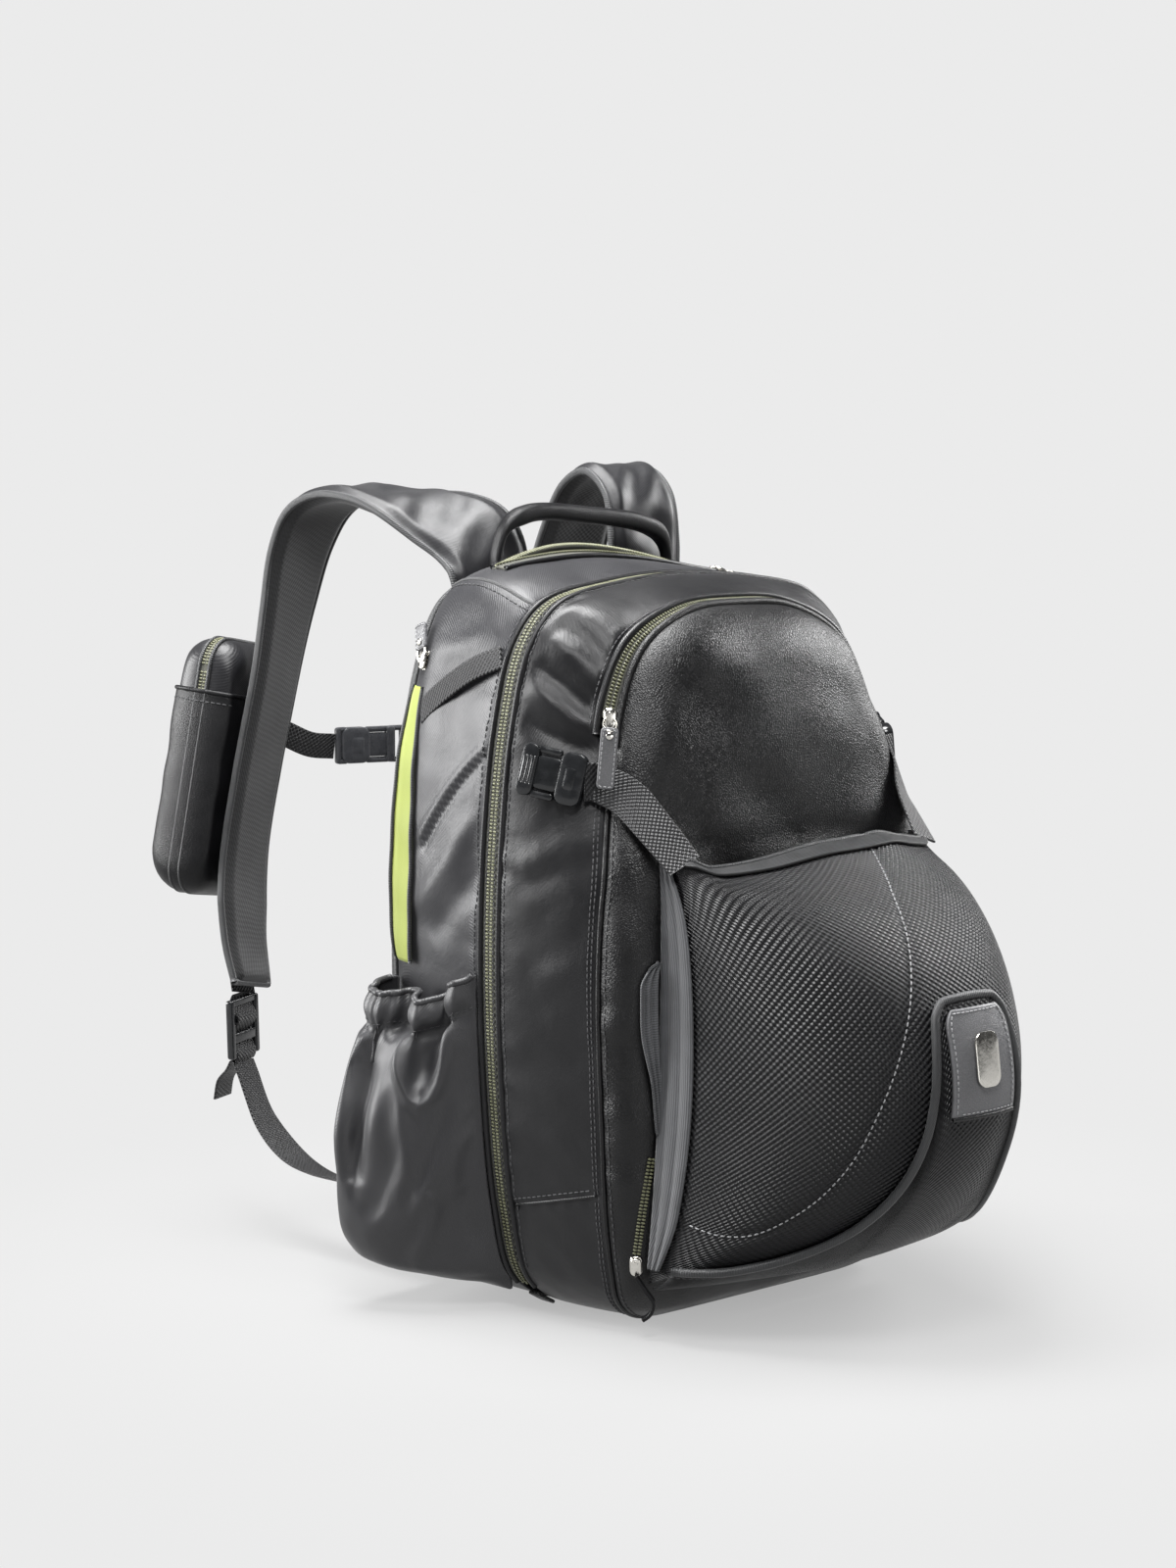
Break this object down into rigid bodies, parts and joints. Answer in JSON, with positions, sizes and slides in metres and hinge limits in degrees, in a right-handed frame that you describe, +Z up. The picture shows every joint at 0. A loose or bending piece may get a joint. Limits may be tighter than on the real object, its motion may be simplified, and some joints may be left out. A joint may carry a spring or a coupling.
{
  "type": "riding backpack",
  "caption": "Black riding backpack with a domed mesh helmet pouch on its front, padded shoulder straps standing out behind, a gathered side pocket and a phone case on one strap.",
  "frame": {"origin": "on the floor, under the middle of the bag's flat base", "axes": "+Z up, -Y out of the bag's front, +Y out of the back panel towards the straps, -X the wearer's left"},
  "size_m": [0.3862, 0.6464, 0.5368],
  "materials": {
    "nylon": "satin coated nylon twill, black",
    "leather": "fine pebbled black leather",
    "mesh": "open woven black mesh",
    "padding": "padded black spacer cloth",
    "webbing": "coarse woven black webbing",
    "binding": "dark grey folded binding tape",
    "zip_tape": "olive grey zip tape and coil",
    "lime_cloth": "lime green lining cloth",
    "black_plastic": "moulded black acetal",
    "nickel": "polished nickel-plated zinc"
  },
  "bodies": {
    "root": {"rear_gusset": "nylon", "front_gusset": "nylon", "side_pocket": "nylon", "front_panel": "leather", "handle": "leather", "flap_tab": "leather", "phone_case_outer": "leather", "front_zip_pull": "leather", "top_zip_pull": "leather", "pouch_zip_pull": "leather", "side_zip_pull": "leather", "helmet_pouch": "mesh", "pouch_flap": "mesh", "back_panel": "padding", "shoulder_strap_left": "padding", "shoulder_strap_right": "padding", "phone_case_inner": "padding", "zip_end_left": "webbing", "zip_end_right": "webbing", "strap_webbing_left": "webbing", "strap_webbing_right": "webbing", "lower_webbing_left": "webbing", "lower_webbing_right": "webbing", "webbing_tail": "webbing", "sternum_strap_left": "webbing", "sternum_strap_right": "webbing", "side_strap": "webbing", "pouch_strap_left": "webbing", "pouch_strap_right": "webbing", "pouch_top_binding": "binding", "pouch_binding_left": "binding", "pouch_binding_right": "binding", "main_zip": "zip_tape", "front_zip": "zip_tape", "top_zip_rear": "zip_tape", "top_zip_front": "zip_tape", "phone_case_zip": "zip_tape", "lime_lining": "lime_cloth", "strap_buckle_left": "black_plastic", "strap_buckle_right": "black_plastic", "sternum_buckle": "black_plastic", "pouch_buckle_left": "black_plastic", "pouch_buckle_right": "black_plastic", "front_zip_slider": "nickel", "top_zip_slider": "nickel", "pouch_zip_slider": "nickel", "side_zip_slider": "nickel", "tab_plate": "nickel"}
  },
  "joints": []
}
